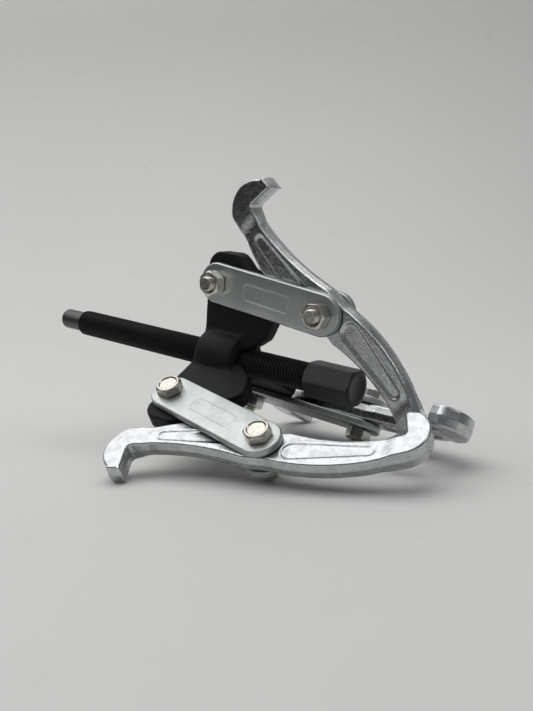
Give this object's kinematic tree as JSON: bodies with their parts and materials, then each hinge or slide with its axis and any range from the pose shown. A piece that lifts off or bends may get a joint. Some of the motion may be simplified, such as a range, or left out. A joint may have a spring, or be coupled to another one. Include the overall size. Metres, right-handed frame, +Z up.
{
  "type": "gear puller",
  "caption": "Reversible jaw puller folded flat: a forcing screw runs through a forged yoke, and bolted link plates carry double-ended hooked jaws.",
  "frame": {"origin": "centre of the bounding box, on the floor the folded tool lies on", "axes": "+X along the tool from the screw's nose towards its hex, level with the floor; +Z up; +Y across the tool"},
  "size_m": [0.2816, 0.183, 0.1555],
  "materials": {
    "yoke_black": "semi-matte black over a rough forging",
    "screw_oxide": "black oxide, lightly oiled",
    "pin_steel": "dark hardened steel",
    "link_zinc": "satin zinc plating",
    "bolt_zinc": "bright zinc plating",
    "jaw_plating": "bright plating over a sandy forging"
  },
  "bodies": {
    "yoke": {"yoke": "yoke_black", "yoke_bolt_a": "bolt_zinc", "yoke_nut_a": "bolt_zinc", "yoke_bolt_b": "bolt_zinc", "yoke_nut_b": "bolt_zinc", "yoke_bolt_c": "bolt_zinc", "yoke_nut_c": "bolt_zinc"},
    "thrust_pin": {"thrust_pin": "pin_steel"},
    "forcing_screw": {"forcing_screw": "screw_oxide"},
    "links_a": {"link_a_head": "link_zinc", "link_a_nut": "link_zinc", "jaw_bolt_a": "bolt_zinc", "jaw_nut_a": "bolt_zinc"},
    "jaw_a": {"jaw_a": "jaw_plating"},
    "links_b": {"link_b_head": "link_zinc", "link_b_nut": "link_zinc", "jaw_bolt_b": "bolt_zinc", "jaw_nut_b": "bolt_zinc"},
    "jaw_b": {"jaw_b": "jaw_plating"},
    "links_c": {"link_c_head": "link_zinc", "link_c_nut": "link_zinc", "jaw_bolt_c": "bolt_zinc", "jaw_nut_c": "bolt_zinc"},
    "jaw_c": {"jaw_c": "jaw_plating"}
  },
  "joints": [
    {"name": "screw_feed", "type": "slide", "parent": "yoke", "child": "thrust_pin", "axis": [-0.9894, -0.0002, 0.1452], "range_m": [0, 0.036]},
    {"name": "screw_turn", "type": "hinge", "parent": "thrust_pin", "child": "forcing_screw", "pos_m": [-0.00511, -0.00035, 0.05584], "axis": [-0.9894, -0.0002, 0.1452], "range_deg": [-5, 6485]},
    {"name": "link_swing_a", "type": "hinge", "parent": "yoke", "child": "links_a", "pos_m": [0.0012, -0.00042, 0.09888], "axis": [0, -1, -0.0017], "range_deg": [0, 60]},
    {"name": "jaw_swing_a", "type": "hinge", "parent": "links_a", "child": "jaw_a", "pos_m": [0.07108, -0.00039, 0.08152], "axis": [0, -1, -0.0017], "range_deg": [-4, 6]},
    {"name": "link_swing_b", "type": "hinge", "parent": "yoke", "child": "links_b", "pos_m": [-0.00827, -0.03798, 0.03426], "axis": [-0.1258, 0.5014, -0.856], "range_deg": [0, 60]},
    {"name": "jaw_swing_b", "type": "hinge", "parent": "links_b", "child": "jaw_b", "pos_m": [0.06098, -0.04878, 0.01776], "axis": [-0.1258, 0.5014, -0.856], "range_deg": [-0.5, 2]},
    {"name": "link_swing_c", "type": "hinge", "parent": "yoke", "child": "links_c", "pos_m": [-0.00827, 0.03736, 0.03438], "axis": [0.1258, 0.4986, 0.8577], "range_deg": [0, 60]},
    {"name": "jaw_swing_c", "type": "hinge", "parent": "links_c", "child": "jaw_c", "pos_m": [0.06082, 0.04875, 0.01763], "axis": [0.1258, 0.4986, 0.8577], "range_deg": [-0.9, 3]}
  ],
  "couplings": [
    {"joint": "screw_turn", "follows": "screw_feed", "rad_per_m": 3141.6}
  ]
}
